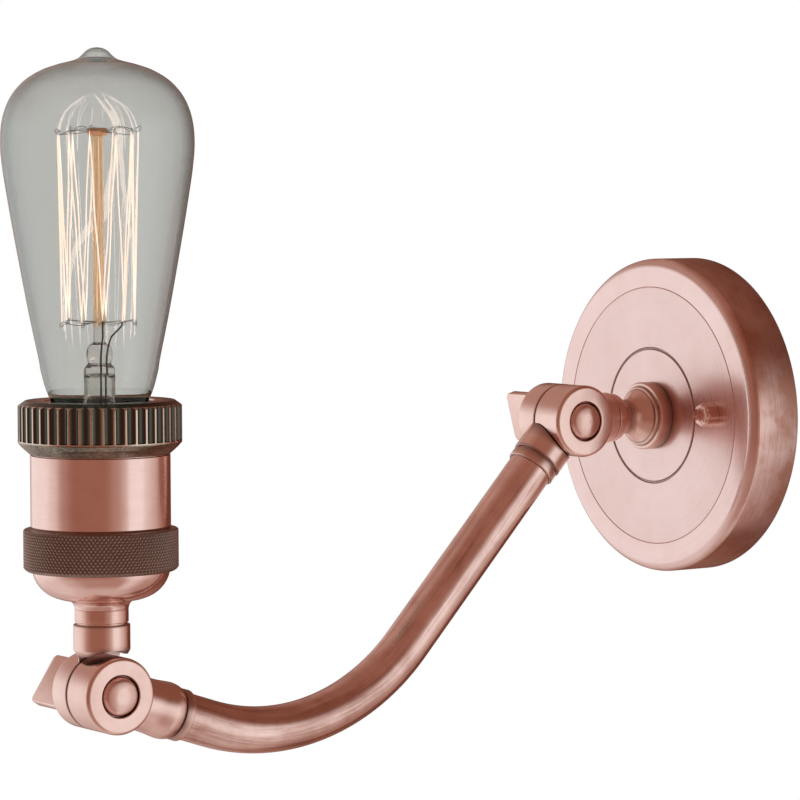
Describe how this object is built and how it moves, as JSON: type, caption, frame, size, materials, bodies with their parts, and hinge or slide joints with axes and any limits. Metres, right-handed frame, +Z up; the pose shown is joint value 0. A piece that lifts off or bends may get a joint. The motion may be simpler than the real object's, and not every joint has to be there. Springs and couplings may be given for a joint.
{
  "type": "wall sconce",
  "caption": "Swing-arm wall sconce: round wall plate, bent tube arm with a friction swivel at each end, bare lampholder with a fluted ring and a long pear-shaped filament bulb.",
  "frame": {"origin": "centre of the wall plate's back face, on the wall", "axes": "+Z up, -Y out of the wall, +X to the right of someone facing the wall"},
  "size_m": [0.1162, 0.2885, 0.2413],
  "materials": {
    "plate_copper": "brushed antique copper plating on a spun steel plate",
    "turned_copper": "antique copper plating on turned and cast brass",
    "tube_copper": "brushed antique copper plating on steel tube",
    "spun_copper": "polished antique copper plating on spun brass",
    "knurled_copper": "dark rubbed copper with fine diamond knurling",
    "fluted_bronze": "dark oil-rubbed bronze with copper-worn crests",
    "zinc_steel": "zinc plated",
    "plain_brass": "plain turned brass",
    "ground_green": "green passivated",
    "lead_insulation": "black lead insulation",
    "socket_insulator": "moulded phenolic",
    "shell_metal": "thin rolled shell",
    "cap_insulator": "black vitrified insulator",
    "bulb_glass": "clear blown glass, slightly smoky",
    "stem_glass": "clear lead glass",
    "hub_copper": "warm bead",
    "filament_glow": "glowing filament",
    "wire_metal": "thin drawn wire"
  },
  "bodies": {
    "wall_base": {"canopy": "plate_copper", "mounting_strap": "zinc_steel", "canopy_studs": "zinc_steel", "stud_nuts": "zinc_steel", "cap_nuts": "turned_copper", "ground_screw": "ground_green", "lock_washer": "zinc_steel", "lock_nut": "zinc_steel", "nozzle_nipple": "zinc_steel", "nozzle": "turned_copper", "supply_leads": "lead_insulation", "upper_knuckle_wall": "turned_copper", "upper_pivot_bolt": "turned_copper", "upper_friction_washer": "zinc_steel"},
    "arm": {"upper_knuckle_arm": "turned_copper", "upper_collar": "turned_copper", "arm_tube": "tube_copper", "arm_leads": "lead_insulation", "lower_collar": "turned_copper", "lower_knuckle_arm": "turned_copper", "lower_pivot_bolt": "turned_copper", "lower_friction_washer": "zinc_steel"},
    "upper_key": {"upper_thumb_key": "turned_copper", "upper_key_washer": "turned_copper"},
    "lower_key": {"lower_thumb_key": "turned_copper", "lower_key_washer": "turned_copper"},
    "lampholder": {"lower_knuckle_socket": "turned_copper", "stem_nipple": "zinc_steel", "neck_ring": "turned_copper", "bowl": "spun_copper", "bowl_nut": "zinc_steel", "socket_leads": "lead_insulation", "knurled_band": "knurled_copper", "socket_shell": "spun_copper", "socket_core": "socket_insulator", "terminal_screws": "plain_brass", "screw_shell": "plain_brass", "centre_contact": "plain_brass"},
    "fluted_ring": {"shade_ring": "fluted_bronze"},
    "bulb": {"bulb_cap": "shell_metal", "bulb_insulator": "cap_insulator", "bulb_button": "plain_brass", "bulb_glass": "bulb_glass", "glass_stem": "stem_glass", "hub_bead": "hub_copper", "filament": "filament_glow", "support_wires": "wire_metal", "lead_wires": "wire_metal"}
  },
  "joints": [
    {"name": "upper_swivel", "type": "hinge", "parent": "wall_base", "child": "arm", "pos_m": [0, -0.0614, 0], "axis": [1, 0, 0], "range_deg": [-60, 40]},
    {"name": "lower_swivel", "type": "hinge", "parent": "arm", "child": "lampholder", "pos_m": [0, -0.25638, -0.08356], "axis": [1, 0, 0], "range_deg": [-35, 150]},
    {"name": "upper_key_turn", "type": "hinge", "parent": "wall_base", "child": "upper_key", "pos_m": [0, -0.0614, 0], "axis": [1, 0, 0], "range_deg": [-180, 180]},
    {"name": "lower_key_turn", "type": "hinge", "parent": "arm", "child": "lower_key", "pos_m": [0, -0.25638, -0.08356], "axis": [1, 0, 0], "range_deg": [-180, 180]},
    {"name": "shade_ring_turn", "type": "hinge", "parent": "lampholder", "child": "fluted_ring", "pos_m": [0, -0.25638, 0.005], "axis": [0, 0, 1], "range_deg": [0, 1080]},
    {"name": "bulb_turn", "type": "hinge", "parent": "lampholder", "child": "bulb", "pos_m": [0, -0.25638, 0], "axis": [0, 0, 1], "range_deg": [0, 1440]}
  ]
}
